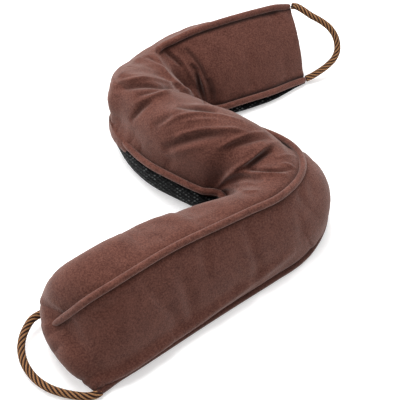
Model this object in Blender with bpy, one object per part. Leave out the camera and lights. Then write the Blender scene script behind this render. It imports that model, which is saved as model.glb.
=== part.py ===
"""Draught excluder: a stuffed three-sided plush tube, laid in a Z, for the gap under a door.

The tube has two plush sides, a non-slip mesh underside, piping in its three long seams, a plush
panel on each end and a twisted rope handle at each end. It is modelled as it lies on a floor.
Run with: blender --background --python part.py
"""

import math

import bmesh
import bpy
import numpy as np
from mathutils import Vector

MM = 0.001

# The seams' own size, in millimetres.
PIPING_RADIUS = 4.2
PIPING_SIDES_STEP = 2
CLEARANCE = 0.3
LAND_MARGIN = 0.4
UNDER_INSET = 4.5
FRONT_BULGE = 0.35
BACK_BULGE = 0.12
RISE_ROOM = 10.0
SLANT_SPAN = 3.0
WIDEST_SLANT = 1.9
MESH_THICKNESS = 2.0
END_PANEL_THICKNESS = 2.0
FLOOR_SKIN = MESH_THICKNESS + CLEARANCE

# Where the middle of the tube's underside starts, at the near end.
START_X = -144.9
START_Y = -269.5

# One row for each cross-section that was measured, from the near end to the far one.
# along: millimetres from the near end; heading: degrees, the way the tube runs.
# Across is positive to the left of that way, up is from the floor.
# front, top and back are the three piped seams; rest is where the underside leaves the floor.
# crown is how far each plush side swells beyond the straight line between its seams.
SECTION_COLUMNS = (
    "along", "heading", "front_across", "front_up", "top_across", "top_up",
    "back_across", "back_up", "rest_across", "front_crown", "back_crown",
)
SECTIONS = (
    (0, 37, -52, 5, 24, 64, 76, 16, 70, 11, 26),
    (25, 37, -53, 5, 12, 96, 86, 18, 78, 10, 31),
    (60, 37, -54, 5, 3, 112, 87, 20, 78, 10, 29),
    (130, 37, -54, 5, 3, 113, 86, 22, 76, 10, 29),
    (212, 37, -55, 5, -3, 110, 74, 30, 64, 10, 26),
    (262, 42, -58, 5, -9, 107, 60, 38, 53, 10, 22),
    (303, 67, -72, 5, -24, 102, 59, 40, 52, 11, 20),
    (344, 99, -84, 5, -45, 90, 59, 40, 52, 12, 31),
    (382, 128, -72, 5, -54, 68, 61, 42, 55, 12, 54),
    (430, 146, -55, 5, -52, 55, 79, 48, 76, 12, 68),
    (490, 147, -52, 5, -49, 55, 81, 50, 78, 11, 68),
    (529, 128, -53, 5, -46, 60, 76, 48, 73, 10, 62),
    (560, 104, -54, 5, -32, 80, 71, 42, 67, 10, 62),
    (578, 89, -57, 5, -14, 94, 67, 36, 62, 10, 51),
    (600, 73, -58, 5, 9, 99, 66, 27, 61, 10, 32),
    (622, 56, -59, 7, 19, 95, 65, 17, 60, 10, 23),
    (645, 40, -64, 13, 9, 100, 64, 9, 57, 10, 22),
    (687, 25, -77, 20, 4, 105, 60, 7, 55, 9, 20),
    (760, 23, -75, 17, 6, 102, 58, 7, 53, 8, 18),
    (808, 23, -65, 10, 7, 99, 57, 7, 52, 8, 15),
    (829, 23, -62, 7, 7, 98, 56, 7, 51, 8, 12),
)

# Spacing of the cross-sections that are built, in millimetres: wide on the straight runs and
# close round the two bends.
STRAIGHT_STEP = 18.0
BEND_STEP = 7.5
BENDS = ((250.0, 420.0), (490.0, 690.0))

FRONT_POINTS = 8
BACK_POINTS = 12
UNDER_FLAT_POINTS = 4
UNDER_RISE_POINTS = 3

# How fully each plush side bulges beside its seams: 1 is a flat arch, 0.5 a half ellipse.
FULLNESS = {"front": 0.9, "back": 0.55}

# Main folds, one row each. side is the plush side it lies on. It runs from one place to another,
# given by along and by the fraction of the side from the top seam down; rise is negative for a
# trough. All but the fractions are millimetres.
FOLD_COLUMNS = ("side", "from_along", "from_down", "to_along", "to_down", "rise", "half_width")
FOLDS = (
    ("back", 322, 0.80, 290, 0.30, 3, 9),
    ("back", 340, 0.85, 318, 0.62, 4, 8),
    ("back", 342, 0.60, 331, 0.08, 5, 7),
    ("back", 351, 0.55, 341, 0.08, -5, 6),
    ("back", 380, 0.90, 352, 0.68, 4, 7),
    ("back", 361, 0.55, 363, 0.20, -5, 7),
    ("back", 392, 0.92, 368, 0.62, 6, 9),
    ("back", 368, 0.62, 371, 0.15, 6, 9),
    ("back", 418, 0.62, 396, 0.15, 4, 8),
    ("back", 488, 0.88, 444, 0.60, -4, 8),
    ("back", 476, 0.74, 412, 0.27, 5, 8),
    ("back", 504, 0.48, 462, 0.12, -5, 8),
    ("back", 495, 0.62, 440, 0.16, 6, 9),
    ("back", 528, 0.88, 524, 0.50, -5, 8),
    ("back", 542, 0.74, 531, 0.35, 5, 8),
    ("back", 562, 0.80, 539, 0.15, -4, 7),
    ("back", 575, 0.88, 546, 0.10, 5, 8),
    ("back", 600, 0.40, 596, 0.10, -4, 7),
    ("front", 590, 0.10, 594, 0.85, 4, 8),
    ("front", 606, 0.10, 612, 0.85, -5, 7),
    ("front", 623, 0.12, 632, 0.88, 5, 8),
    ("front", 640, 0.12, 648, 0.88, -6, 7),
    ("front", 652, 0.40, 660, 0.90, 4, 7),
)

# Each end panel swells outwards; one row for each ring of it: how much of the outline is left,
# and how much of the swelling has been reached.
END_RINGS = ((0.86, 0.46), (0.66, 0.78), (0.40, 0.95))
NEAR_SWELL = 16.0
FAR_SWELL = 10.0
END_CLEARANCE = 0.7

# The rope handles, in millimetres. Their routes are chosen by hand: the near one lies low,
# from the back corner to the front one, and the far one stands out from the top corner down to
# the front one.
ROPE_RADIUS = 5.0
STRANDS = 4
STRAND_RELIEF = 0.16
POINTS_PER_STRAND = 3
TWIST_PITCH = 26.0
ROPE_STEP = 3.2
ROOT_RADIUS = 3.9
ROOT_LENGTH = 6.0
NEAR_ROUTE = (
    (-193, -210.5, 16), (-199, -215, 17), (-205, -221.5, 18), (-210, -231.5, 17),
    (-213.5, -244.5, 16), (-214, -257.5, 14), (-211, -270.5, 12), (-205, -282.5, 10),
    (-196, -293.5, 8), (-185, -302.5, 7), (-172, -309.5, 6.5), (-158, -314, 6),
    (-144, -317, 6), (-131, -318, 5.7), (-121, -316, 5.4), (-114.4, -311.5, 5),
)
FAR_ROUTE = (
    (142, 276.2, 96.4), (149.5, 277.5, 94), (159, 273.5, 90.5), (171, 268.5, 84.5),
    (186, 264.5, 77.5), (199, 260, 69), (208.5, 254.5, 58), (213, 247.5, 47),
    (213, 240, 37), (208, 233, 28), (198, 226.5, 20), (186, 220.5, 13.5), (175.5, 215.5, 9.7),
    (166.5, 211.8, 7.6),
)

PLUSH = (0.125, 0.052, 0.042, 1.0)
PIPING = (0.150, 0.068, 0.055, 1.0)
MESH = (0.006, 0.008, 0.009, 1.0)
ROPE = (0.210, 0.105, 0.045, 1.0)


def clear_scene():
    """Remove every object that the file holds."""
    for existing in list(bpy.data.objects):
        bpy.data.objects.remove(existing, do_unlink=True)


def cloth_material(name, colour, roughness):
    """A plain cloth of one colour."""
    material = bpy.data.materials.new(name)
    material.use_nodes = True
    shader = material.node_tree.nodes["Principled BSDF"]
    shader.inputs["Base Color"].default_value = colour
    shader.inputs["Roughness"].default_value = roughness
    shader.inputs["Metallic"].default_value = 0.0
    material.diffuse_color = colour
    return material


def column(name, along):
    """One column of SECTIONS at a place along the tube, without overshoot between its rows."""
    rows = np.array(SECTIONS, float)
    x = rows[:, 0]
    y = rows[:, SECTION_COLUMNS.index(name)]
    slope = np.diff(y) / np.diff(x)
    tangent = np.concatenate(([slope[0]], np.zeros(len(x) - 2), [slope[-1]]))
    for i in range(1, len(x) - 1):
        before, after = slope[i - 1], slope[i]
        if before * after > 0:
            near = 2 * (x[i + 1] - x[i]) + (x[i] - x[i - 1])
            far = (x[i + 1] - x[i]) + 2 * (x[i] - x[i - 1])
            tangent[i] = (near + far) / (near / before + far / after)
    k = int(np.clip(np.searchsorted(x, along, side="right") - 1, 0, len(x) - 2))
    width = x[k + 1] - x[k]
    t = (along - x[k]) / width
    return float(
        (1 + 2 * t) * (1 - t) ** 2 * y[k]
        + t * (1 - t) ** 2 * width * tangent[k]
        + t * t * (3 - 2 * t) * y[k + 1]
        + t * t * (t - 1) * width * tangent[k + 1]
    )


def make_spine(step=1.0):
    """Follow the headings from the start and note the place at every millimetre."""
    count = int(SECTIONS[-1][0] / step) + 1
    place = Vector((START_X, START_Y))
    spine = [place.copy()]
    for i in range(1, count):
        heading = math.radians(column("heading", (i - 0.5) * step))
        place = place + Vector((math.cos(heading), math.sin(heading))) * step
        spine.append(place.copy())
    return spine


SPINE = make_spine()


def to_world(along, across, up, beyond=0.0):
    """A point of the cross-section at a place along the tube, in millimetres of the world."""
    low = min(int(along), len(SPINE) - 2)
    base = SPINE[low].lerp(SPINE[low + 1], along - low)
    heading = math.radians(column("heading", along))
    forward = Vector((math.cos(heading), math.sin(heading)))
    left = Vector((-forward.y, forward.x))
    flat = base + left * across + forward * beyond
    return Vector((flat.x, flat.y, up))


def stations():
    """Places along the tube at which a cross-section is built."""
    length = float(SECTIONS[-1][0])
    places = [0.0]
    while places[-1] < length:
        here = places[-1]
        bending = any(low <= here < high for low, high in BENDS)
        places.append(here + (BEND_STEP if bending else STRAIGHT_STEP))
    spread = length / places[-1]
    return [place * spread for place in places]


STATIONS = stations()


def seams(along):
    """The front, top and back seams of the cross-section, each as across and up."""
    return {
        side: Vector((column(side + "_across", along), column(side + "_up", along)))
        for side in ("front", "top", "back")
    }


def fold_rise(side, along, down, side_width):
    """How far the folds lift or sink a point of a plush side."""
    total = 0.0
    for row in FOLDS:
        fold = dict(zip(FOLD_COLUMNS, row))
        if fold["side"] != side:
            continue
        start = Vector((fold["from_along"], fold["from_down"] * side_width))
        end = Vector((fold["to_along"], fold["to_down"] * side_width))
        run = end - start
        offset = Vector((along, down * side_width)) - start
        part = min(max(offset.dot(run) / run.length_squared, 0.0), 1.0)
        distance = (offset - run * part).length
        fade = math.sin(math.pi * down)
        total += fold["rise"] * fade * math.exp(-((distance / fold["half_width"]) ** 2))
    return total


def plush_side(side, along, upper, lower, crown, points):
    """A crowned side from its upper seam to its lower one, with its folds."""
    run = lower - upper
    outward = Vector((-run.y, run.x)).normalized()
    if side == "front":
        outward = -outward
    outline = []
    for k in range(points + 1):
        down = k / points
        swell = crown * (4 * down * (1 - down)) ** FULLNESS[side]
        swell += fold_rise(side, along, down, run.length)
        outline.append(upper + run * down + outward * swell)
    return outline


def slant(side, along):
    """How much wider a cross-section cuts the piping where its seam crosses it at a slant."""
    length = float(SECTIONS[-1][0])
    before = min(max(along - SLANT_SPAN, 0.0), length)
    after = min(max(along + SLANT_SPAN, 0.0), length)
    run = to_world(after, *seams(after)[side]) - to_world(before, *seams(before)[side])
    forward = to_world(along, 0.0, 0.0, 1.0) - to_world(along, 0.0, 0.0)
    return min(run.length / run.dot(forward), WIDEST_SLANT)


def land(corner, first, second, widening):
    """The two edges of the flat on which a piping cord lies, on the ways to two neighbours."""
    ways = [(neighbour - corner).normalized() for neighbour in (first, second)]
    half_angle = ways[0].angle(ways[1]) / 2
    reach = (PIPING_RADIUS * widening + CLEARANCE + LAND_MARGIN) / math.cos(half_angle)
    return corner + ways[0] * reach, corner + ways[1] * reach


def under_turn(along):
    """Roughly where the underside turns up to the back seam."""
    back = seams(along)["back"]
    lift = back.y - column("front_up", along)
    return Vector((back.x - UNDER_INSET + BACK_BULGE * max(lift, 0.0), FLOOR_SKIN))


def lands(along):
    """The edges of the flats at the three seams, by seam and by the side that they end."""
    corner = seams(along)
    floor_point = Vector((corner["front"].x + UNDER_INSET, FLOOR_SKIN))
    top_front, top_back = land(
        corner["top"], corner["front"], corner["back"], slant("top", along)
    )
    front_front, front_under = land(
        corner["front"], corner["top"], floor_point, slant("front", along)
    )
    back_back, back_under = land(
        corner["back"], corner["top"], under_turn(along), slant("back", along)
    )
    for edge in (front_under, back_under):
        edge.y = max(edge.y, FLOOR_SKIN)
    return {
        "front": (top_front, front_front),
        "back": (top_back, back_back),
        "under": (front_under, back_under),
    }


def rise_to(edge, rest, bulge):
    """From where the underside rests up to the edge of a seam's flat, a rounded turn."""
    turn = Vector((edge.x + bulge * (edge.y - FLOOR_SKIN), FLOOR_SKIN))
    curve = []
    for k in range(UNDER_RISE_POINTS + 1):
        t = k / UNDER_RISE_POINTS
        curve.append(rest * (1 - t) ** 2 + turn * (2 * t * (1 - t)) + edge * t * t)
    return curve


def body_underside(along):
    """The filled tube's lower face: down from the front seam, flat, then up to the back one."""
    start, end = lands(along)["under"]
    low = start.x + RISE_ROOM
    high = min(column("rest_across", along), end.x - RISE_ROOM)
    flat = [
        Vector((low + (high - low) * k / UNDER_FLAT_POINTS, FLOOR_SKIN))
        for k in range(UNDER_FLAT_POINTS + 1)
    ]
    front = rise_to(start, flat[0], -FRONT_BULGE)
    back = rise_to(end, flat[-1], BACK_BULGE)
    return front[:0:-1] + flat + back[1:]


def below(outline, distance):
    """An open outline moved to its lower side by a distance."""
    moved = []
    for k, point in enumerate(outline):
        before = outline[max(k - 1, 0)]
        after = outline[min(k + 1, len(outline) - 1)]
        run = (after - before).normalized()
        moved.append(point + Vector((run.y, -run.x)) * distance)
    return moved


def body_outline(along):
    """The filled tube's closed cross-section: underside, back side, then front side."""
    edge = lands(along)
    back = plush_side("back", along, *edge["back"], column("back_crown", along), BACK_POINTS)
    front = plush_side(
        "front", along, *edge["front"], column("front_crown", along), FRONT_POINTS
    )
    return body_underside(along) + back[::-1] + front


def mesh_outline(along):
    """The closed cross-section of the mesh panel."""
    upper = body_underside(along)
    return below(upper, CLEARANCE) + below(upper, FLOOR_SKIN)[::-1]


def add_object(name, bm, material):
    """Turn a bmesh into an object with its material."""
    bmesh.ops.recalc_face_normals(bm, faces=bm.faces)
    mesh = bpy.data.meshes.new(name)
    bm.to_mesh(mesh)
    bm.free()
    mesh.materials.append(material)
    obj = bpy.data.objects.new(name, mesh)
    bpy.context.scene.collection.objects.link(obj)
    mesh.shade_smooth()
    return obj


def add_ring(bm, points):
    """A ring of vertices at points given in millimetres."""
    return [bm.verts.new(point * MM) for point in points]


def join_rings(bm, first, second):
    """Triangles between two rings with the same number of points."""
    count = len(first)
    for k in range(count):
        after = (k + 1) % count
        bm.faces.new((first[k], first[after], second[after]))
        bm.faces.new((first[k], second[after], second[k]))


def close_ring(bm, ring):
    """A fan of triangles from the middle of a ring."""
    middle = sum((vert.co for vert in ring), Vector()) / len(ring)
    centre = bm.verts.new(middle)
    for k, vert in enumerate(ring):
        bm.faces.new((vert, ring[(k + 1) % len(ring)], centre))
    return centre


def close_strip(bm, ring):
    """Triangles across the end of a strip whose ring runs out along one face and back."""
    last = len(ring) - 1
    for k in range(len(ring) // 2 - 1):
        bm.faces.new((ring[k], ring[k + 1], ring[last - k - 1]))
        bm.faces.new((ring[k], ring[last - k - 1], ring[last - k]))


def end_rings(along, outward, swell, gap):
    """The rings of a swelling end, from its rim to its middle, and the middle itself."""
    outline = body_outline(along)
    centre = sum(outline, Vector((0.0, 0.0))) / len(outline)
    rings = [[to_world(along, p.x, p.y, outward * gap) for p in outline]]
    for size, reached in END_RINGS:
        ring = []
        for p in outline:
            q = centre + (p - centre) * size
            ring.append(to_world(along, q.x, q.y, outward * (gap + swell * reached)))
        rings.append(ring)
    middle = to_world(along, centre.x, centre.y, outward * (gap + swell))
    return rings, middle


def fan_to(bm, ring, point):
    """A fan of triangles from a ring to a point in millimetres."""
    centre = bm.verts.new(point * MM)
    for k, vert in enumerate(ring):
        bm.faces.new((vert, ring[(k + 1) % len(ring)], centre))


def make_body(material):
    """The filled tube, one solid with its crown, its drawn-in bends and its main folds."""
    bm = bmesh.new()
    rings = [
        add_ring(bm, [to_world(along, p.x, p.y) for p in body_outline(along)])
        for along in STATIONS
    ]
    for first, second in zip(rings, rings[1:]):
        join_rings(bm, first, second)
    ends = ((rings[0], STATIONS[0], -1, NEAR_SWELL), (rings[-1], STATIONS[-1], 1, FAR_SWELL))
    for rim, along, outward, swell in ends:
        swelling, middle = end_rings(along, outward, swell, 0.0)
        for points in swelling[1:]:
            inner = add_ring(bm, points)
            join_rings(bm, rim, inner)
            rim = inner
        fan_to(bm, rim, middle)
    return add_object("filled_body", bm, material)


def make_underside(material):
    """The non-slip mesh panel, flat on the floor and turned up where the tube is tilted."""
    bm = bmesh.new()
    rings = [
        add_ring(bm, [to_world(along, p.x, p.y) for p in mesh_outline(along)])
        for along in STATIONS
    ]
    for first, second in zip(rings, rings[1:]):
        join_rings(bm, first, second)
    close_strip(bm, rings[0])
    close_strip(bm, rings[-1])
    return add_object("mesh_underside", bm, material)


def make_end_panel(name, along, outward, swell, material):
    """A plush panel over one end of the tube."""
    bm = bmesh.new()
    inner, inner_middle = end_rings(along, outward, swell, END_CLEARANCE)
    outer, outer_middle = end_rings(along, outward, swell, END_CLEARANCE + END_PANEL_THICKNESS)
    inner = [add_ring(bm, ring) for ring in inner]
    outer = [add_ring(bm, ring) for ring in outer]
    for rings in (inner, outer):
        for first, second in zip(rings, rings[1:]):
            join_rings(bm, first, second)
    join_rings(bm, inner[0], outer[0])
    fan_to(bm, inner[-1], inner_middle)
    fan_to(bm, outer[-1], outer_middle)
    return add_object(name, bm, material)


def make_piping(name, seam, material):
    """A round piping cord along one long seam."""
    curve = bpy.data.curves.new(name, "CURVE")
    curve.dimensions = "3D"
    curve.bevel_depth = PIPING_RADIUS * MM
    curve.bevel_resolution = PIPING_SIDES_STEP
    curve.use_fill_caps = True
    curve.materials.append(material)
    spline = curve.splines.new("POLY")
    spline.points.add(len(STATIONS) - 1)
    for point, along in zip(spline.points, STATIONS):
        middle = seams(along)[seam]
        point.co = (*(to_world(along, middle.x, middle.y) * MM), 1.0)
    obj = bpy.data.objects.new(name, curve)
    bpy.context.scene.collection.objects.link(obj)
    return obj


def smooth_route(route, step):
    """Evenly spaced points on a smooth curve through a route's own points."""
    points = [Vector(p) for p in route]
    points = [points[0] * 2 - points[1]] + points + [points[-1] * 2 - points[-2]]
    fine = []
    for a, b, c, d in zip(points, points[1:], points[2:], points[3:]):
        for k in range(12):
            t = k / 12
            fine.append(
                (b * 2 + (c - a) * t + (a * 2 - b * 5 + c * 4 - d) * t * t
                 + (b * 3 - a - c * 3 + d) * t ** 3) / 2
            )
    fine.append(points[-2])
    lengths = [0.0]
    for a, b in zip(fine, fine[1:]):
        lengths.append(lengths[-1] + (b - a).length)
    count = round(lengths[-1] / step)
    even = []
    for i in range(count + 1):
        target = lengths[-1] * i / count
        k = min(int(np.searchsorted(lengths, target, side="right")) - 1, len(fine) - 2)
        part = (target - lengths[k]) / (lengths[k + 1] - lengths[k])
        even.append(fine[k].lerp(fine[k + 1], part))
    return even


def make_handle(name, route, material):
    """A twisted rope handle: four strands, raised in one solid along its route."""
    path = smooth_route(route, ROPE_STEP)
    bm = bmesh.new()
    rings = []
    normal = Vector((0.0, 0.0, 1.0))
    travelled = 0.0
    count = STRANDS * POINTS_PER_STRAND
    for i, place in enumerate(path):
        tangent = (path[min(i + 1, len(path) - 1)] - path[max(i - 1, 0)]).normalized()
        normal = (normal - tangent * normal.dot(tangent)).normalized()
        side = tangent.cross(normal)
        turn = 2 * math.pi * travelled / TWIST_PITCH
        free = min(i, len(path) - 1 - i) * ROPE_STEP / ROOT_LENGTH
        radius = ROOT_RADIUS + (ROPE_RADIUS - ROOT_RADIUS) * min(free, 1.0)
        ring = []
        for k in range(count):
            angle = 2 * math.pi * k / count
            hollow = 0.5 - 0.5 * math.cos(STRANDS * angle)
            reach = radius * (1 - STRAND_RELIEF * (1 - hollow))
            around = angle + turn
            ring.append(place + (normal * math.cos(around) + side * math.sin(around)) * reach)
        rings.append(add_ring(bm, ring))
        if i + 1 < len(path):
            travelled += (path[i + 1] - place).length
    for first, second in zip(rings, rings[1:]):
        join_rings(bm, first, second)
    close_ring(bm, rings[0])
    close_ring(bm, rings[-1])
    return add_object(name, bm, material)


def main():
    clear_scene()
    plush = cloth_material("brown plush", PLUSH, 0.9)
    piping = cloth_material("brown piping", PIPING, 0.85)
    mesh = cloth_material("black non-slip mesh", MESH, 0.7)
    rope = cloth_material("twisted rope", ROPE, 0.6)
    make_body(plush)
    make_underside(mesh)
    make_piping("piping_front", "front", piping)
    make_piping("piping_top", "top", piping)
    make_piping("piping_back", "back", piping)
    make_end_panel("end_panel_near", STATIONS[0], -1, NEAR_SWELL, plush)
    make_end_panel("end_panel_far", STATIONS[-1], 1, FAR_SWELL, plush)
    make_handle("handle_near", NEAR_ROUTE, rope)
    make_handle("handle_far", FAR_ROUTE, rope)


main()
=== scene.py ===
"""Looks of the draught excluder: a stuffed plush tube with piped seams and twisted rope handles."""

import math

import bmesh
import bpy
import numpy as np
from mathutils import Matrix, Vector
from mathutils.bvhtree import BVHTree


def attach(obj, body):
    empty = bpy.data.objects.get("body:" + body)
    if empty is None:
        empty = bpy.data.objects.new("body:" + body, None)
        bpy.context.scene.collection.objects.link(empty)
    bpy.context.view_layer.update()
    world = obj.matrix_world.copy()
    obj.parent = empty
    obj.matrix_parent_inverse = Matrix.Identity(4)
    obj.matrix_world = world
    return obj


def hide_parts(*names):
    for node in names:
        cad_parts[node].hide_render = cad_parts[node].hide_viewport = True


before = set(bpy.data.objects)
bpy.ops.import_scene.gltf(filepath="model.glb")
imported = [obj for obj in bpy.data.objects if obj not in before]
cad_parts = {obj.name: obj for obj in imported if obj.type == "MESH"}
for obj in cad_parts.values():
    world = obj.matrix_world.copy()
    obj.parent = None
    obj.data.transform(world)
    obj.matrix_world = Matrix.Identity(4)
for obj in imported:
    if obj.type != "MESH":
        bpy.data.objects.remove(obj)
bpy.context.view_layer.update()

bl_info = {
    "name": "Draught excluder",
    "version": (1, 0, 0),
    "blender": (4, 5, 0),
    "location": "View3D > Sidebar > Soft goods",
    "description": "Builds a stuffed plush draught excluder over its packed solids",
    "category": "Add Mesh",
}

MM = 0.001

# The rope handles' routes, the same as in the part's source, in millimetres.
NEAR_ROUTE = (
    (-193, -210.5, 16), (-199, -215, 17), (-205, -221.5, 18), (-210, -231.5, 17),
    (-213.5, -244.5, 16), (-214, -257.5, 14), (-211, -270.5, 12), (-205, -282.5, 10),
    (-196, -293.5, 8), (-185, -302.5, 7), (-172, -309.5, 6.5), (-158, -314, 6),
    (-144, -317, 6), (-131, -318, 5.7), (-121, -316, 5.4), (-114.4, -311.5, 5),
)
FAR_ROUTE = (
    (142, 276.2, 96.4), (149.5, 277.5, 94), (159, 273.5, 90.5), (171, 268.5, 84.5),
    (186, 264.5, 77.5), (199, 260, 69), (208.5, 254.5, 58), (213, 247.5, 47),
    (213, 240, 37), (208, 233, 28), (198, 226.5, 20), (186, 220.5, 13.5), (175.5, 215.5, 9.7),
    (166.5, 211.8, 7.6),
)
SEAMS = ("piping_front", "piping_top", "piping_back")
PLUSH_NODES = ("filled_body", "end_panel_near", "end_panel_far")

# The picture's frame, in pixels, and the width of the camera's sensor, in millimetres.
PICTURE_SIDE = 400.0
SENSOR = 36.0

# How far from the piping the painted seam shade reaches, and how deep a crease is when its painted
# shade is darkest, in metres.
SEAM_SHADE = 0.003
CREASE_SHADE = 0.0075
# How dark the painted shade along a seam gets, and the colour that painted shade in seams and creases
# darkens the plush towards.
SEAM_DARKEST = 0.9
PAINTED_SHADE_COLOUR = (0.008, 0.003, 0.0022, 1.0)

# A fold ends this many of its half widths away from its line.
FOLD_MARGIN = 3.0

# No swelling pushes the plush below this height, in metres: the mesh lies under it.
LOWEST = 0.0023

# Folds of the plush, traced in the picture's pixels, from its top left corner.
# lift: millimetres out of the cloth, negative for a crease; half_width: millimetres.
FOLD_COLUMNS = ("lift", "half_width", "line")
FOLDS = (
    # The left bend, outer side.
    (3.4, 3.0, ((108, 86), (118, 82.5), (130, 79.8), (144, 78), (161, 81), (182, 86))),
    (-4.2, 4.4, ((114, 91), (130, 87), (147, 85.5), (165, 87.5), (182, 89.5))),
    (3.2, 3.4, ((132, 105), (147, 98), (161, 93), (175, 90.5), (188, 90))),
    (-4.0, 4.0, ((152, 101), (146, 104.5), (140, 109.5), (130, 121))),
    (-2.4, 3.4, ((135, 96), (148, 92.5), (162, 89.5))),
    (8.0, 22.0, ((119, 84), (115, 97), (114.5, 110), (116.5, 123), (121, 135), (129, 148))),
    (2.0, 6.0, ((129, 67), (135, 61.5), (141, 57))),
    # The middle run.
    (-4.6, 6.0, ((176, 106), (190, 107), (203, 108.5), (218, 112))),
    (3.0, 3.2, ((158, 128), (175, 118), (189, 114), (203, 113.5), (220, 115.5), (244, 121))),
    (1.8, 2.4, ((183, 121.5), (200, 119.5), (220, 119.5))),
    (3.4, 3.0, ((172, 138), (189, 132), (203, 129.5), (220, 129), (234, 129), (250, 132.5))),
    (-4.2, 5.5, ((162, 149), (180, 142.5), (197, 137), (212, 134.5), (230, 134.5))),
    (2.2, 5.0, ((166, 156), (186, 149), (208, 144))),
    (-2.4, 6.0, ((150, 126), (162, 121), (172, 114))),
    # The right bend, inner side.
    (3.2, 3.0, ((217, 149), (234, 139.5), (247, 135), (260, 133), (276, 133.5))),
    (-3.4, 4.4, ((224, 150), (239, 144), (256, 139), (270, 137.5))),
    (4.6, 3.4, ((213, 191), (224, 179), (236, 168.5), (251, 158), (265, 147), (280, 141))),
    (-5.4, 3.4, ((273, 149.5), (266, 153), (259, 157.5), (251, 163.5), (244, 168))),
    (3.0, 2.6, ((218, 186), (230, 175.5), (241, 172), (253, 173.5), (270, 173.5), (289, 175))),
    (-3.8, 2.8, ((247, 169), (260, 170), (273, 170.5), (286, 170), (294, 168))),
    (2.2, 2.4, ((280, 164), (288, 165), (294, 168.5))),
    (1.9, 2.6, ((275, 158.5), (285, 156), (293, 157))),
    (2.8, 2.4, ((217, 189), (228, 186), (237, 185), (247, 183.5), (257, 185))),
    (2.8, 2.4, ((212, 195), (222, 190), (229, 188), (239, 190), (248, 191.5), (259, 190))),
    (-2.4, 3.0, ((226, 181.5), (240, 178), (250, 178), (264, 180))),
    # The left bend, inner side.
    (-3.4, 3.0, ((146, 56), (154, 59.5), (165, 68))),
    (-3.8, 3.2, ((164, 50), (175, 59), (184, 68))),
    (-3.6, 3.4, ((171, 70), (181, 81), (189, 90.5), (196, 97))),
    (2.6, 3.0, ((169, 49), (181, 60), (189, 72), (197, 86))),
    (-3.6, 3.0, ((185, 48), (196, 60.5), (203, 72), (208, 86))),
    (-5.2, 3.2, ((191, 64), (197, 73), (199, 84), (202, 95), (206, 105))),
    (3.4, 2.6, ((195, 69), (202, 80), (206, 92), (209, 105))),
    (-3.0, 5.0, ((208, 78), (211, 90), (212, 101))),
    (4.5, 5.0, ((154, 52.5), (160, 64), (173, 81), (189, 92.5), (209, 102.5))),
    # The near end, and the plush that hangs over the front seam beside it.
    (5.0, 8.0, ((98, 384), (112, 377.5), (140, 359.5), (180, 332.5), (220, 304.5), (260, 276.5),
                (296, 250))),
    (4.0, 8.0, ((97, 384), (112, 377), (140, 359), (172, 336))),
    # Where the filling swells the plush most: the near run's back, its end and the two bends.
    (8.0, 32.0, ((46, 306), (53, 291), (66, 277), (87, 264.5), (121, 244), (145, 231.5),
                 (184, 215))),
    (6.0, 24.0, ((47, 306), (53, 291), (66, 277), (87, 264.5), (112, 250), (130, 241))),
    (3.0, 12.0, ((84, 377), (94, 382), (104, 381))),
    (8.0, 15.0, ((46, 322), (51, 336), (59, 349), (69, 362), (80, 375), (92, 386), (101, 389))),
    (8.0, 28.0, ((294, 150), (304, 158), (317, 175), (323, 191), (323, 207), (319, 224),
                 (308, 240))),
    (7.0, 12.0, ((116.5, 84), (116, 96), (117, 104), (118, 112), (119.5, 122),
                 (122.5, 133), (129, 143), (140, 152))),
)

# Where the plush of the left bend hides a piping, in the same pixels. Below: how far from that
# line it does so, the share of this that is wholly hidden, how far away places are looked at,
# and how deep the piping sinks and the top piping drops there, all but the share in metres.
HIDDEN_PIPING = {
    "piping_top": ((154, 52.5), (160, 64), (173, 81), (189, 92.5), (209, 102.5)),
    "piping_back": ((111.5, 106), (112, 114), (113, 122), (115, 130), (118, 138)),
}
HIDDEN_REACH = 0.013
HIDDEN_WHOLLY = 0.6
HIDDEN_MARGIN = 0.02
HIDDEN_SINK = 0.0036
HIDDEN_DROP = 0.009

# Where the top piping ends in the picture, and where its two ends are on its solid, in metres.
TOP_PIPING_END = ((54.5, 324.5), (57, 323))
TOP_PIPING_START = (-0.1593, -0.2503, 0.064)
TOP_PIPING_FAR = (0.1382, 0.2736, 0.098)
TOP_PIPING_FAR_SHIFT = (0.0, 0.0, -0.006)
END_REACH = 0.03

# How far the front piping of the near run is drawn in, in metres, the way it goes, the y where
# this ends, and how much painted shade darkens the piping there, for the shadow of the plush above
# it.
FRONT_DRAW = 0.0035
FRONT_DRAW_Y = (0.06, 0.12)
FRONT_SHADE = 0.4
FRONT_INWARD = (-0.6, 0.8, 0.0)
FRONT_PIPING_START = (-0.1136, -0.311, 0.005)
CORNER_SHIFT = (-0.003, -0.006, 0.001)

# The far end is nearly flat: its way out, where its flat starts and what is left of its swelling.
FAR_OUT = (0.92, 0.39, 0.0)
FAR_FLAT = 0.2338
FAR_SWELL_LEFT = 0.3

# The far end stands this share taller than its solid does, from one y to another, in metres.
FAR_STRETCH = 0.05
FAR_STRETCH_Y = (0.15, 0.26)

# How far from a seam the cloth is free to be smoothed or filled: from where, and over how much.
SMOOTHED_FROM = 0.003
FILLED_FROM = 0.004
FREE_OVER = 0.012
FLOOR_OVER = 0.01
SEWN_BELOW = 0.05

# The cloth that the filling presses out, and how many frames it is pressed for.
CLOTH = {
    "quality": 6,
    "mass": 0.3,
    "tension_stiffness": 12.0,
    "compression_stiffness": 12.0,
    "shear_stiffness": 6.0,
    "bending_stiffness": 0.4,
    "use_pressure": True,
    "shrink_min": -0.04,
}
CLOTH_FRAMES = 20

# The mesh panel: its width, how far it shows in front of the far run, the way it goes, and where
# it starts to, by how much the surface faces that way and by y and x, in metres.
SPREAD = 0.006
SPREAD_AHEAD = (0.41, -0.91, 0.0)
SPREAD_FACING = (0.1, 0.5)
SPREAD_Y = (0.12, 0.16)
SPREAD_X = (0.0, 0.03)

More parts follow.
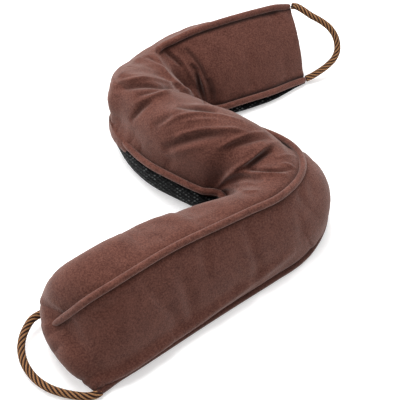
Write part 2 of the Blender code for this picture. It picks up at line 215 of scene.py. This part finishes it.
# The ropes: the spacing of their rings, the sides of a core and a strand, the lit yarns' colours.
ROPE_STEP = 0.0013
CORE_SIDES = 10
STRAND_SIDES = 8
DARK_YARN = (0.035, 0.013, 0.009)
GOLD_YARN = (0.42, 0.21, 0.095)

# The piping is this much lighter than the plush.
PIPING_LIGHTER = 1.12

# The floor's side, and each light's place and side, in metres.
FLOOR_SIDE = 8.0
LIGHTS = {
    "key": ((-0.3, 0.7, 1.5), 1.2),
    "left": ((-1.5, 0.1, 0.75), 0.9),
    "right": ((1.5, 0.25, 0.75), 0.9),
}


class StageSettings(bpy.types.PropertyGroup):
    """The camera, the floor and the light."""

    distance: bpy.props.FloatProperty(
        name="Camera distance", description="From the camera to the point it looks at",
        default=1.25, unit="LENGTH",
    )
    elevation: bpy.props.FloatProperty(
        name="Camera elevation", description="How steeply the camera looks down",
        default=math.radians(52.0), subtype="ANGLE",
    )
    look_at: bpy.props.FloatVectorProperty(
        name="Look at", description="The point in the middle of the picture",
        default=(0.0031, -0.0195, 0.0), subtype="XYZ", unit="LENGTH",
    )
    lens: bpy.props.FloatProperty(
        name="Lens", description="Focal length in millimetres", default=81.0,
    )
    floor_colour: bpy.props.FloatVectorProperty(
        name="Floor colour", description="Colour of the floor", default=(0.9, 0.9, 0.9),
        subtype="COLOR",
    )
    key_power: bpy.props.FloatProperty(
        name="Key light", description="Power of the light overhead in watts", default=40.0,
    )
    left_power: bpy.props.FloatProperty(
        name="Left light", description="Power of the light on the left in watts", default=14.0,
    )
    right_power: bpy.props.FloatProperty(
        name="Right light", description="Power of the light on the right in watts", default=9.0,
    )
    world_strength: bpy.props.FloatProperty(
        name="Room light", description="Strength of the light from all round", default=0.6,
    )


class PlushSettings(bpy.types.PropertyGroup):
    """The stuffed tube."""

    voxel: bpy.props.FloatProperty(
        name="Cloth grid", description="Size of the grid that the cloth is simulated on",
        default=0.004, unit="LENGTH",
    )
    smoothing: bpy.props.IntProperty(
        name="Smoothing", description="How often the cloth grid is smoothed", default=6,
    )
    pressure: bpy.props.FloatProperty(
        name="Filling pressure", description="How hard the filling presses", default=4.0,
    )
    most_swell: bpy.props.FloatProperty(
        name="Most swell", description="How far the filling may move the cloth",
        default=0.003, unit="LENGTH",
    )
    draw_in: bpy.props.FloatProperty(
        name="Draw in", description="How much smaller the cloth is before it is filled",
        default=0.003, unit="LENGTH",
    )
    plump: bpy.props.FloatProperty(
        name="Piping swell", description="How far the piping swells towards the cloth",
        default=0.0008, unit="LENGTH",
    )
    colour: bpy.props.FloatVectorProperty(
        name="Plush colour", description="Colour in the depth of the pile",
        default=(0.050, 0.0145, 0.0098), subtype="COLOR",
    )
    tip_colour: bpy.props.FloatVectorProperty(
        name="Pile tips", description="Colour of the lit tips of the pile",
        default=(0.122, 0.046, 0.033), subtype="COLOR",
    )


class UndersideSettings(bpy.types.PropertyGroup):
    """The non-slip mesh panel."""

    colour: bpy.props.FloatVectorProperty(
        name="Mesh colour", description="Colour of the holes of the mesh",
        default=(0.0012, 0.0014, 0.0018), subtype="COLOR",
    )
    thread_colour: bpy.props.FloatVectorProperty(
        name="Thread colour", description="Colour of the mesh's threads",
        default=(0.075, 0.082, 0.082), subtype="COLOR",
    )
    hole: bpy.props.FloatProperty(
        name="Hole spacing", description="From one hole of the mesh to the next",
        default=0.0078, unit="LENGTH",
    )


class RopeSettings(bpy.types.PropertyGroup):
    """The twisted rope handles."""

    radius: bpy.props.FloatProperty(
        name="Rope radius", description="Radius of the whole rope", default=0.005,
        unit="LENGTH",
    )
    strands: bpy.props.IntProperty(
        name="Strands", description="Number of strands, dark and gold by turns", default=10,
    )
    strand_radius: bpy.props.FloatProperty(
        name="Strand radius", description="Radius of one strand", default=0.00125,
        unit="LENGTH",
    )
    pitch: bpy.props.FloatProperty(
        name="Twist", description="Length of one full turn of a strand", default=0.039,
        unit="LENGTH",
    )
    dark: bpy.props.FloatVectorProperty(
        name="Dark strand", description="Colour of the dark strands",
        default=(0.012, 0.004, 0.0028), subtype="COLOR",
    )
    gold: bpy.props.FloatVectorProperty(
        name="Gold strand", description="Colour of the gold strands",
        default=(0.26, 0.120, 0.046), subtype="COLOR",
    )


def deselect_all():
    """Leave nothing selected."""
    if bpy.context.object and bpy.context.object.mode != "OBJECT":
        bpy.ops.object.mode_set(mode="OBJECT")
    bpy.ops.object.select_all(action="DESELECT")


def make_active(obj):
    """Select one object alone and make it the active one."""
    deselect_all()
    obj.select_set(True)
    bpy.context.view_layer.objects.active = obj


def copy_of_node(node, name):
    """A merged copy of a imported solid, as a piece of its own."""
    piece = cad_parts[node].copy()
    piece.data = piece.data.copy()
    piece.name = name
    piece.data.name = name
    for key in list(piece.keys()):
        del piece[key]
    piece.parent = None
    bpy.context.scene.collection.objects.link(piece)
    piece.data.materials.clear()
    make_active(piece)
    bpy.ops.object.mode_set(mode="EDIT")
    bpy.ops.mesh.select_all(action="SELECT")
    bpy.ops.mesh.remove_doubles(threshold=0.00002)
    bpy.ops.mesh.normals_make_consistent(inside=False)
    bpy.ops.object.mode_set(mode="OBJECT")
    bpy.ops.object.shade_smooth()
    return piece


def apply_modifier(piece, kind, **values):
    """Add a modifier, set it and apply it."""
    make_active(piece)
    modifier = piece.modifiers.new(kind.title(), kind)
    for name, value in values.items():
        setattr(modifier, name, value)
    bpy.ops.object.modifier_apply(modifier=modifier.name)


def places_of(piece):
    """The vertices of a piece as an array."""
    flat = np.empty(len(piece.data.vertices) * 3)
    piece.data.vertices.foreach_get("co", flat)
    return flat.reshape(-1, 3)


def set_places(piece, places):
    """Move the vertices of a piece."""
    piece.data.vertices.foreach_set("co", places.ravel())
    piece.data.update()


def normals_of(piece):
    """The normals at the vertices of a piece as an array."""
    flat = np.empty(len(piece.data.vertices) * 3)
    piece.data.vertex_normals.foreach_get("vector", flat)
    return flat.reshape(-1, 3)


def camera_frame(settings):
    """The camera's place and its right, up and forward directions."""
    turn = settings.elevation
    back = Vector((0.0, -math.cos(turn), math.sin(turn)))
    right = Vector((1.0, 0.0, 0.0))
    up = Vector((0.0, math.sin(turn), math.cos(turn)))
    return Vector(settings.look_at) + back * settings.distance, right, up, -back


def smooth_step(values, low, high):
    """0 below one value, 1 above another and smooth between them."""
    part = np.clip((values - low) / (high - low), 0.0, 1.0)
    return part * part * (3.0 - 2.0 * part)


def stretch_far_end(piece):
    """Let the far end of a piece stand a little taller."""
    places = places_of(piece)
    places[:, 2] *= 1.0 + FAR_STRETCH * smooth_step(places[:, 1], *FAR_STRETCH_Y)
    set_places(piece, places)


def flatten_far_end(piece):
    """Draw in what swells out of the far end of a piece."""
    places = places_of(piece)
    out = np.array(FAR_OUT)
    beyond = np.maximum(places @ out - FAR_FLAT, 0.0)
    set_places(piece, places - out * ((1.0 - FAR_SWELL_LEFT) * beyond)[:, None])


def smooth_part(piece, weights, iterations):
    """Smooth a piece where its weights say so."""
    group = piece.vertex_groups.new(name="smoothed")
    for index, weight in enumerate(weights):
        group.add([index], float(weight), "REPLACE")
    apply_modifier(piece, "SMOOTH", factor=0.5, iterations=iterations, vertex_group="smoothed")
    piece.vertex_groups.clear()


def hidden_share(piece, settings, node):
    """How far each place of a piece is under the plush that hides a piping."""
    surface = BVHTree.FromObject(piece, bpy.context.evaluated_depsgraph_get())
    line = traced_line(surface, settings, HIDDEN_PIPING[node])
    places = places_of(piece)
    gaps = np.full(len(places), 1.0)
    near = np.flatnonzero(
        np.all(
            (places > line.min(axis=0) - HIDDEN_MARGIN) & (places < line.max(axis=0) + HIDDEN_MARGIN),
            axis=1,
        )
    )
    gaps[near] = np.linalg.norm(places[near][:, None, :] - line[None, :, :], axis=2).min(axis=1)
    return 1.0 - smooth_step(gaps, HIDDEN_WHOLLY * HIDDEN_REACH, HIDDEN_REACH)


def traced_line(surface, settings, line):
    """A line of the picture laid on the surface behind it, as points in metres."""
    eye, right, up, forward = camera_frame(settings)
    reach = PICTURE_SIDE * settings.lens / SENSOR
    pixels = [Vector((x, y, 0.0)) for x, y in line]
    laid = []
    for pixel in smooth_points(pixels, 1.0):
        across = pixel.x - PICTURE_SIDE / 2
        down = pixel.y - PICTURE_SIDE / 2
        ray = (forward * reach + right * across - up * down).normalized()
        hit = surface.ray_cast(eye, ray)[0]
        if hit is not None:
            laid.append(hit)
    return np.array([tuple(point) for point in laid])


def raise_folds(piece, settings):
    """Raise and sink the surface of a piece along the traced folds, and note the painted shade of its
    seams and creases.
    """
    surface = BVHTree.FromObject(piece, bpy.context.evaluated_depsgraph_get())
    start = places_of(piece)
    outward = normals_of(piece)
    lift = np.zeros(len(start))
    for row in FOLDS:
        fold = dict(zip(FOLD_COLUMNS, row))
        line = traced_line(surface, settings, fold["line"])
        width = fold["half_width"] * MM
        margin = FOLD_MARGIN * width
        near = np.flatnonzero(
            np.all((start > line.min(axis=0) - margin) & (start < line.max(axis=0) + margin), axis=1)
        )
        gaps = np.linalg.norm(start[near][:, None, :] - line[None, :, :], axis=2)
        nearest = gaps.argmin(axis=1)
        distance = gaps[np.arange(len(near)), nearest]
        along = nearest / (len(line) - 1)
        taper = np.sin(math.pi * np.clip(along, 0.0, 1.0)) ** 0.5
        lift[near] += fold["lift"] * MM * taper * np.exp(-((distance / width) ** 2))
    moved = start + outward * lift[:, None]
    moved[:, 2] = np.maximum(moved[:, 2], np.minimum(start[:, 2], LOWEST))
    set_places(piece, moved)
    # Painted shade: the plush darkens along the seams, most on the sides that face away from the key
    # light, and in the creases, but not where plush hides the top piping.
    shadow_side = np.clip(0.5 + outward[:, 0] - outward[:, 1], 0.2, 1.0)
    painted_seam_shade = shadow_side * np.exp(-((distance_to_seams(start) / SEAM_SHADE) ** 2))
    painted_seam_shade *= 1.0 - hidden_share(piece, settings, "piping_top")
    note_painted_shade(piece, SEAM_DARKEST * painted_seam_shade - lift / CREASE_SHADE)


def distance_to_seams(places):
    """How far each place is from the nearest piping."""
    graph = bpy.context.evaluated_depsgraph_get()
    seams = [BVHTree.FromObject(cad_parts[name], graph) for name in SEAMS]
    return np.array([min(seam.find_nearest(place)[3] for seam in seams) for place in places])


def note_painted_shade(piece, painted_shade):
    """Keep how much painted shade darkens each place, in creases and along seams, for the material.
    """
    layer = piece.data.attributes.new("painted_shade", "FLOAT", "POINT")
    layer.data.foreach_set("value", np.clip(painted_shade, 0.0, 1.0))


def new_material(name):
    """A material with only its shader and output."""
    material = bpy.data.materials.new(name)
    material.use_nodes = True
    return material, material.node_tree, material.node_tree.nodes["Principled BSDF"]


def noise_node(tree, coordinates, scale, detail, rough=0.5):
    """A noise on object coordinates, in cycles for each metre."""
    node = tree.nodes.new("ShaderNodeTexNoise")
    node.inputs["Scale"].default_value = scale
    node.inputs["Detail"].default_value = detail
    node.inputs["Roughness"].default_value = rough
    tree.links.new(coordinates, node.inputs["Vector"])
    return node.outputs["Fac"]


def mix_numbers(tree, operation, first, second):
    """A math node between a socket and a socket or a number."""
    node = tree.nodes.new("ShaderNodeMath")
    node.operation = operation
    tree.links.new(first, node.inputs[0])
    if isinstance(second, (int, float)):
        node.inputs[1].default_value = second
    else:
        tree.links.new(second, node.inputs[1])
    return node.outputs[0]


def ramp(tree, value, low, high, low_colour, high_colour):
    """A colour that goes from one to another as a value rises."""
    node = tree.nodes.new("ShaderNodeValToRGB")
    node.color_ramp.elements[0].position = low
    node.color_ramp.elements[0].color = (*low_colour, 1.0)
    node.color_ramp.elements[1].position = high
    node.color_ramp.elements[1].color = (*high_colour, 1.0)
    tree.links.new(value, node.inputs["Fac"])
    return node.outputs["Color"]


def bump(tree, shader, height, strength, distance):
    """Raise a surface by a height."""
    node = tree.nodes.new("ShaderNodeBump")
    node.inputs["Strength"].default_value = strength
    node.inputs["Distance"].default_value = distance
    tree.links.new(height, node.inputs["Height"])
    tree.links.new(node.outputs["Normal"], shader.inputs["Normal"])


def object_coordinates(tree):
    """The object coordinates of a material."""
    return tree.nodes.new("ShaderNodeTexCoord").outputs["Object"]


def plush_material(name, depth_colour, tip_colour):
    """Short brown pile: fine mottled grain, soft patches where the nap turns, sheen, and painted
    shade in creases and along seams.
    """
    material, tree, shader = new_material(name)
    coordinates = object_coordinates(tree)
    grain = noise_node(tree, coordinates, 480.0, 3.0, 0.7)
    nap = noise_node(tree, coordinates, 55.0, 3.0, 0.55)
    shares = (mix_numbers(tree, "MULTIPLY", grain, 0.8), mix_numbers(tree, "MULTIPLY", nap, 0.2))
    tone = mix_numbers(tree, "ADD", *shares)
    colour = ramp(tree, tone, 0.37, 0.63, depth_colour, tip_colour)
    # Painted shade: a per-vertex attribute darkens the colour in creases, along seams and on the
    # front piping of the near run.
    shade_attribute = tree.nodes.new("ShaderNodeAttribute")
    shade_attribute.attribute_name = "painted_shade"
    shaded_colour = tree.nodes.new("ShaderNodeMix")
    shaded_colour.data_type = "RGBA"
    shaded_colour.inputs["B"].default_value = PAINTED_SHADE_COLOUR
    tree.links.new(shade_attribute.outputs["Fac"], shaded_colour.inputs["Factor"])
    tree.links.new(colour, shaded_colour.inputs["A"])
    tree.links.new(shaded_colour.outputs["Result"], shader.inputs["Base Color"])
    shader.inputs["Roughness"].default_value = 0.95
    shader.inputs["Specular IOR Level"].default_value = 0.08
    shader.inputs["Sheen Weight"].default_value = 0.24
    shader.inputs["Sheen Roughness"].default_value = 0.5
    shader.inputs["Sheen Tint"].default_value = (1.0, 0.88, 0.83, 1.0)
    fine = noise_node(tree, coordinates, 900.0, 2.0, 0.6)
    height = mix_numbers(tree, "ADD", fine, mix_numbers(tree, "MULTIPLY", grain, 0.9))
    bump(tree, shader, height, 0.5, 0.0011)
    return material


def mesh_material(settings):
    """Black non-slip mesh: slanting threads round small holes."""
    material, tree, shader = new_material("non slip mesh")
    coordinates = object_coordinates(tree)
    separate = tree.nodes.new("ShaderNodeSeparateXYZ")
    tree.links.new(coordinates, separate.inputs["Vector"])
    x, y, z = separate.outputs["X"], separate.outputs["Y"], separate.outputs["Z"]
    rate = 2.0 * math.pi / settings.hole
    rising = mix_numbers(tree, "ADD", mix_numbers(tree, "ADD", x, y), z)
    falling = mix_numbers(tree, "SUBTRACT", mix_numbers(tree, "SUBTRACT", x, y), z)
    waves = []
    for slanting, share in ((rising, 0.5), (falling, 0.5)):
        turned = mix_numbers(tree, "MULTIPLY", slanting, rate * share)
        wave = mix_numbers(tree, "SINE", turned, 0.0)
        waves.append(mix_numbers(tree, "ABSOLUTE", wave, 0.0))
    threads = mix_numbers(tree, "MULTIPLY", waves[0], waves[1])
    # A noise sets the patches where the threads show grey; elsewhere the mesh stays black.
    thread_patches = noise_node(tree, coordinates, 160.0, 2.0)
    shown = mix_numbers(tree, "MULTIPLY", mix_numbers(tree, "SUBTRACT", thread_patches, 0.36), 4.0)
    tone = mix_numbers(tree, "MULTIPLY", mix_numbers(tree, "SUBTRACT", threads, 0.3), shown)
    colour = ramp(tree, tone, 0.2, 0.6, settings.colour, settings.thread_colour)
    tree.links.new(colour, shader.inputs["Base Color"])
    shader.inputs["Roughness"].default_value = 0.6
    shader.inputs["Specular IOR Level"].default_value = 0.05
    bump(tree, shader, threads, 0.9, 0.0014)
    return material


def strand_material(name, colour, lighter):
    """One colour of rope strand: fine yarns lying slantwise along the strand."""
    material, tree, shader = new_material(name)
    uv = tree.nodes.new("ShaderNodeUVMap")
    uv.uv_map = "along_strand"
    separate = tree.nodes.new("ShaderNodeSeparateXYZ")
    tree.links.new(uv.outputs["UV"], separate.inputs["Vector"])
    along = mix_numbers(tree, "MULTIPLY", separate.outputs["X"], 1400.0)
    around = mix_numbers(tree, "MULTIPLY", separate.outputs["Y"], 2.0 * math.pi * 5.0)
    yarn = mix_numbers(tree, "SINE", mix_numbers(tree, "ADD", along, around), 0.0)
    yarn = mix_numbers(tree, "MULTIPLY", mix_numbers(tree, "ADD", yarn, 1.0), 0.5)
    fluff = noise_node(tree, object_coordinates(tree), 700.0, 3.0)
    tone = mix_numbers(tree, "ADD", mix_numbers(tree, "MULTIPLY", yarn, 0.55),
                       mix_numbers(tree, "MULTIPLY", fluff, 0.5))
    dim = tuple(0.45 * channel for channel in colour)
    tree.links.new(ramp(tree, tone, 0.15, 0.85, dim, lighter), shader.inputs["Base Color"])
    shader.inputs["Roughness"].default_value = 0.7
    shader.inputs["Specular IOR Level"].default_value = 0.15
    bump(tree, shader, tone, 0.5, 0.0006)
    return material


def floor_material(colour):
    """A pale matt floor with the slightest unevenness, which glows a little as painted light."""
    material, tree, shader = new_material("pale floor")
    mottle = noise_node(tree, object_coordinates(tree), 6.0, 2.0)
    darker = tuple(0.985 * channel for channel in colour)
    tree.links.new(ramp(tree, mottle, 0.3, 0.7, darker, tuple(colour)),
                   shader.inputs["Base Color"])
    shader.inputs["Roughness"].default_value = 0.85
    shader.inputs["Specular IOR Level"].default_value = 0.2
    # Painted light: the floor glows a little, which lightens the shadows cast on it and lights the
    # tube from below.
    shader.inputs["Emission Color"].default_value = (1.0, 1.0, 1.0, 1.0)
    shader.inputs["Emission Strength"].default_value = 0.26
    return material


def smooth_points(points, step):
    """Evenly spaced points on a smooth curve through some points."""
    points = [points[0] * 2 - points[1]] + list(points) + [points[-1] * 2 - points[-2]]
    fine = []
    for a, b, c, d in zip(points, points[1:], points[2:], points[3:]):
        for k in range(12):
            t = k / 12
            fine.append(
                (b * 2 + (c - a) * t + (a * 2 - b * 5 + c * 4 - d) * t * t
                 + (b * 3 - a - c * 3 + d) * t ** 3) / 2
            )
    fine.append(points[-2])
    lengths = [0.0]
    for a, b in zip(fine, fine[1:]):
        lengths.append(lengths[-1] + (b - a).length)
    count = max(round(lengths[-1] / step), 2)
    even = []
    for i in range(count + 1):
        target = lengths[-1] * i / count
        k = min(int(np.searchsorted(lengths, target, side="right")) - 1, len(fine) - 2)
        part = (target - lengths[k]) / (lengths[k + 1] - lengths[k])
        even.append(fine[k].lerp(fine[k + 1], part))
    return even


def carried_frames(path):
    """A sideways direction at each point of a path, carried along it without twist."""
    normal = Vector((0.0, 0.0, 1.0))
    frames = []
    for i in range(len(path)):
        tangent = (path[min(i + 1, len(path) - 1)] - path[max(i - 1, 0)]).normalized()
        normal = (normal - tangent * normal.dot(tangent)).normalized()
        frames.append((tangent, normal.copy(), tangent.cross(normal)))
    return frames


def add_tube(bm, uv_layer, path, radius, sides, material_index):
    """A closed tube along a path, with its length and its turn as UV."""
    frames = carried_frames(path)
    rings = []
    travelled = [0.0]
    for i, place in enumerate(path):
        _, normal, side = frames[i]
        ring = []
        for k in range(sides):
            angle = 2 * math.pi * k / sides
            offset = normal * math.cos(angle) + side * math.sin(angle)
            ring.append(bm.verts.new(place + offset * radius))
        rings.append(ring)
        if i:
            travelled.append(travelled[-1] + (place - path[i - 1]).length)
    for i in range(len(rings) - 1):
        for k in range(sides):
            after = (k + 1) % sides
            face = bm.faces.new((rings[i][k], rings[i][after], rings[i + 1][after],
                                 rings[i + 1][k]))
            face.material_index = material_index
            face.smooth = True
            corners = ((i, k), (i, k + 1), (i + 1, k + 1), (i + 1, k))
            for loop, (row, column) in zip(face.loops, corners):
                loop[uv_layer].uv = (travelled[row], column / sides)
    for ring in (rings[0][::-1], rings[-1]):
        cap = bm.faces.new(ring)
        cap.material_index = material_index


def twisted_rope(name, route, settings, materials):
    """A rope of strands that wind round one line."""
    path = smooth_points([Vector(point) * MM for point in route], ROPE_STEP)
    frames = carried_frames(path)
    bm = bmesh.new()
    uv_layer = bm.loops.layers.uv.new("along_strand")
    centre = settings.radius - settings.strand_radius
    step = (path[1] - path[0]).length
    add_tube(bm, uv_layer, path, centre, CORE_SIDES, 0)
    for strand in range(settings.strands):
        line = []
        for i, place in enumerate(path):
            angle = 2 * math.pi * (strand / settings.strands + i * step / settings.pitch)
            _, normal, side = frames[i]
            line.append(place + (normal * math.cos(angle) + side * math.sin(angle)) * centre)
        add_tube(bm, uv_layer, line, settings.strand_radius, STRAND_SIDES, strand % 2)
    bmesh.ops.recalc_face_normals(bm, faces=bm.faces)
    mesh = bpy.data.meshes.new(name)
    bm.to_mesh(mesh)
    bm.free()
    for material in materials:
        mesh.materials.append(material)
    rope = bpy.data.objects.new(name, mesh)
    bpy.context.scene.collection.objects.link(rope)
    length = sum((b - a).length for a, b in zip(path, path[1:]))
    return rope, path, length


class STUFFED_OT_stage(bpy.types.Operator):
    """Add the camera, the floor and the light"""

    bl_idname = "stuffed.stage"
    bl_label = "Stage"

    def execute(self, context):
        settings = context.scene.stuffed_stage
        eye = camera_frame(settings)[0]
        camera_data = bpy.data.cameras.new("camera")
        camera_data.lens = settings.lens
        camera_data.sensor_width = SENSOR
        camera = bpy.data.objects.new("camera", camera_data)
        camera.location = eye
        camera.rotation_euler = (math.pi / 2 - settings.elevation, 0.0, 0.0)
        context.scene.collection.objects.link(camera)
        context.scene.camera = camera

        deselect_all()
        bpy.ops.mesh.primitive_plane_add(size=FLOOR_SIDE, location=(0.0, 0.0, 0.0))
        floor = context.object
        floor.name = "floor"
        floor.data.materials.append(floor_material(settings.floor_colour))

        self.add_light("key", settings.key_power)
        self.add_light("left", settings.left_power)
        self.add_light("right", settings.right_power)

        world = bpy.data.worlds.new("room")
        world.use_nodes = True
        background = world.node_tree.nodes["Background"]
        background.inputs["Color"].default_value = (1.0, 1.0, 1.0, 1.0)
        background.inputs["Strength"].default_value = settings.world_strength
        context.scene.world = world
        context.scene.view_settings.view_transform = "Standard"
        return {"FINISHED"}

    def add_light(self, name, power):
        """A soft square light that points at the object."""
        place, side = LIGHTS[name]
        data = bpy.data.lights.new(name, "AREA")
        data.size = side
        data.energy = power
        light = bpy.data.objects.new(name, data)
        light.location = place
        light.rotation_euler = (-Vector(place)).to_track_quat("-Z", "Y").to_euler()
        bpy.context.scene.collection.objects.link(light)


class STUFFED_OT_handles(bpy.types.Operator):
    """Twist the two rope handles"""

    bl_idname = "stuffed.handles"
    bl_label = "Rope handles"

    def execute(self, context):
        settings = context.scene.stuffed_rope
        dark = strand_material("dark strand", settings.dark, DARK_YARN)
        gold = strand_material("gold strand", settings.gold, GOLD_YARN)
        routes = (("rope_near", "handle_near", NEAR_ROUTE), ("rope_far", "handle_far", FAR_ROUTE))
        for name, node, route in routes:
            rope, path, length = twisted_rope(name, route, settings, (dark, gold))
            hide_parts(node)
            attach(rope, "root")
        return {"FINISHED"}


class STUFFED_OT_tube(bpy.types.Operator):
    """Fill the plush tube"""

    bl_idname = "stuffed.tube"
    bl_label = "Stuffed tube"

    def execute(self, context):
        settings = context.scene.stuffed_plush
        parts = [copy_of_node(node, node + "_part") for node in PLUSH_NODES]
        deselect_all()
        for part in parts:
            part.select_set(True)
        tube = parts[0]
        context.view_layer.objects.active = tube
        bpy.ops.object.join()
        tube.name = "plush_tube"
        apply_modifier(tube, "REMESH", mode="VOXEL", voxel_size=settings.voxel)
        near = distance_to_seams(places_of(tube))
        free = np.clip((near - SMOOTHED_FROM) / FREE_OVER, 0.0, 1.0)
        smooth_part(tube, free, settings.smoothing)
        self.fill(context, tube, settings)
        smooth_part(tube, free, 2 * settings.smoothing)
        hidden = hidden_share(tube, context.scene.stuffed_stage, "piping_top")
        smooth_part(tube, hidden, 5 * settings.smoothing)
        flatten_far_end(tube)
        stretch_far_end(tube)
        apply_modifier(tube, "SUBSURF", levels=1, render_levels=1)
        raise_folds(tube, context.scene.stuffed_stage)
        make_active(tube)
        bpy.ops.object.shade_smooth()
        tube.data.materials.append(
            plush_material("brown plush", settings.colour, settings.tip_colour)
        )
        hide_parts(*PLUSH_NODES)
        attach(tube, "root")
        return {"FINISHED"}

    def fill(self, context, tube, settings):
        """Draw the cloth in a little, then let the filling press it out again."""
        start = places_of(tube)
        near = distance_to_seams(start)
        free = np.clip((near - FILLED_FROM) / FREE_OVER, 0.0, 1.0)
        free *= np.clip((start[:, 2] - FILLED_FROM) / FLOOR_OVER, 0.0, 1.0)
        set_places(tube, start - normals_of(tube) * (settings.draw_in * free)[:, None])
        drawn = places_of(tube)
        group = tube.vertex_groups.new(name="sewn")
        for index in np.flatnonzero(free < SEWN_BELOW):
            group.add([int(index)], 1.0, "REPLACE")
        cloth = tube.modifiers.new("Cloth", "CLOTH")
        for name, value in CLOTH.items():
            setattr(cloth.settings, name, value)
        cloth.settings.uniform_pressure_force = settings.pressure
        cloth.settings.vertex_group_mass = "sewn"
        cloth.settings.effector_weights.gravity = 0.0
        cloth.point_cache.frame_start = 1
        cloth.point_cache.frame_end = CLOTH_FRAMES
        for number in range(1, CLOTH_FRAMES + 1):
            context.scene.frame_set(number)
        filled = tube.evaluated_get(context.evaluated_depsgraph_get())
        flat = np.empty(len(filled.data.vertices) * 3)
        filled.data.vertices.foreach_get("co", flat)
        tube.modifiers.remove(cloth)
        tube.vertex_groups.clear()
        context.scene.frame_set(1)
        move = flat.reshape(-1, 3) - drawn
        size = np.linalg.norm(move, axis=1)
        keep = np.minimum(1.0, settings.most_swell / np.maximum(size, 1e-9))
        set_places(tube, drawn + move * keep[:, None])


class STUFFED_OT_piping(bpy.types.Operator):
    """Lay the piping in the three long seams"""

    bl_idname = "stuffed.piping"
    bl_label = "Piping"

    def execute(self, context):
        settings = context.scene.stuffed_plush
        lighter = tuple(PIPING_LIGHTER * channel for channel in settings.tip_colour)
        material = plush_material("plush piping", settings.colour, lighter)
        for node in SEAMS:
            piece = copy_of_node(node, node + "_cord")
            apply_modifier(piece, "SUBSURF", levels=2, render_levels=2)
            stretch_far_end(piece)
            places = places_of(piece)
            swell = np.full(len(places), settings.plump)
            under = np.zeros(len(places))
            shift = np.zeros(places.shape)
            if node == "piping_front":
                under = 1.0 - smooth_step(places[:, 1], *FRONT_DRAW_Y)
                shift += np.array(FRONT_INWARD) * (FRONT_DRAW * under)[:, None]
                gap = np.linalg.norm(places - np.array(FRONT_PIPING_START), axis=1)
                corner = 1.0 - smooth_step(gap, 0.0, END_REACH)
                shift += np.array(CORNER_SHIFT) * corner[:, None]
            if node in HIDDEN_PIPING:
                hidden = hidden_share(piece, context.scene.stuffed_stage, node)
                swell -= HIDDEN_SINK * hidden
            if node == "piping_top":
                shift[:, 2] -= HIDDEN_DROP * hidden
                shift += self.ends(context, places)
            set_places(piece, places + normals_of(piece) * swell[:, None] + shift)
            # Painted shade on the front piping of the near run, for the shadow of the plush above it;
            # the other pipings get none.
            note_painted_shade(piece, under * FRONT_SHADE)
            piece.data.materials.append(material)
            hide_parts(node)
            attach(piece, "root")
        return {"FINISHED"}

    def ends(self, context, places):
        """Take the top piping to where it ends in the picture, and round its far end down."""
        graph = context.evaluated_depsgraph_get()
        cloth = BVHTree.FromObject(bpy.data.objects["plush_tube"], graph)
        target = traced_line(cloth, context.scene.stuffed_stage, TOP_PIPING_END)[0]
        start = np.array(TOP_PIPING_START)
        near = 1.0 - smooth_step(np.linalg.norm(places - start, axis=1), 0.0, END_REACH)
        far_gap = np.linalg.norm(places - np.array(TOP_PIPING_FAR), axis=1)
        far = 1.0 - smooth_step(far_gap, 0.0, END_REACH)
        shift = np.array(TOP_PIPING_FAR_SHIFT)
        return near[:, None] * (target - start) + far[:, None] * shift


class STUFFED_OT_underside(bpy.types.Operator):
    """Lay the non-slip mesh under the tube"""

    bl_idname = "stuffed.underside"
    bl_label = "Mesh underside"

    def execute(self, context):
        settings = context.scene.stuffed_underside
        panel = copy_of_node("mesh_underside", "mesh_panel")
        apply_modifier(panel, "SUBSURF", levels=1, render_levels=1, subdivision_type="SIMPLE")
        self.spread(panel)
        stretch_far_end(panel)
        panel.data.materials.append(mesh_material(settings))
        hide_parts("mesh_underside")
        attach(panel, "root")
        return {"FINISHED"}

    def spread(self, panel):
        """Let the mesh show in front of the far run, under the piping."""
        places = places_of(panel)
        ahead = np.array(SPREAD_AHEAD)
        share = smooth_step(normals_of(panel) @ ahead, *SPREAD_FACING)
        share *= smooth_step(places[:, 1], *SPREAD_Y)
        share *= smooth_step(places[:, 0], *SPREAD_X)
        set_places(panel, places + ahead * (SPREAD * share)[:, None])


class STUFFED_PT_panel(bpy.types.Panel):
    """Lists the steps that build the draught excluder"""

    bl_idname = "STUFFED_PT_panel"
    bl_label = "Draught excluder"
    bl_space_type = "VIEW_3D"
    bl_region_type = "UI"
    bl_category = "Soft goods"

    def draw(self, context):
        for step in STEPS:
            self.layout.operator(step.bl_idname)
        for group in GROUPS:
            settings = getattr(context.scene, group)
            for name in settings.bl_rna.properties.keys():
                if name not in ("rna_type", "name"):
                    self.layout.prop(settings, name)


GROUPS = {
    "stuffed_stage": StageSettings,
    "stuffed_rope": RopeSettings,
    "stuffed_plush": PlushSettings,
    "stuffed_underside": UndersideSettings,
}
STEPS = (
    STUFFED_OT_stage,
    STUFFED_OT_handles,
    STUFFED_OT_tube,
    STUFFED_OT_piping,
    STUFFED_OT_underside,
)


def register():
    for name, group in GROUPS.items():
        bpy.utils.register_class(group)
        setattr(bpy.types.Scene, name, bpy.props.PointerProperty(type=group))
    for step in STEPS:
        bpy.utils.register_class(step)
    bpy.utils.register_class(STUFFED_PT_panel)


def unregister():
    bpy.utils.unregister_class(STUFFED_PT_panel)
    for step in reversed(STEPS):
        bpy.utils.unregister_class(step)
    for name, group in reversed(list(GROUPS.items())):
        delattr(bpy.types.Scene, name)
        bpy.utils.unregister_class(group)


def main():
    register()
    bpy.ops.stuffed.stage()
    bpy.ops.stuffed.handles()
    bpy.ops.stuffed.tube()
    bpy.ops.stuffed.piping()
    bpy.ops.stuffed.underside()


if __name__ == "__main__":
    main()
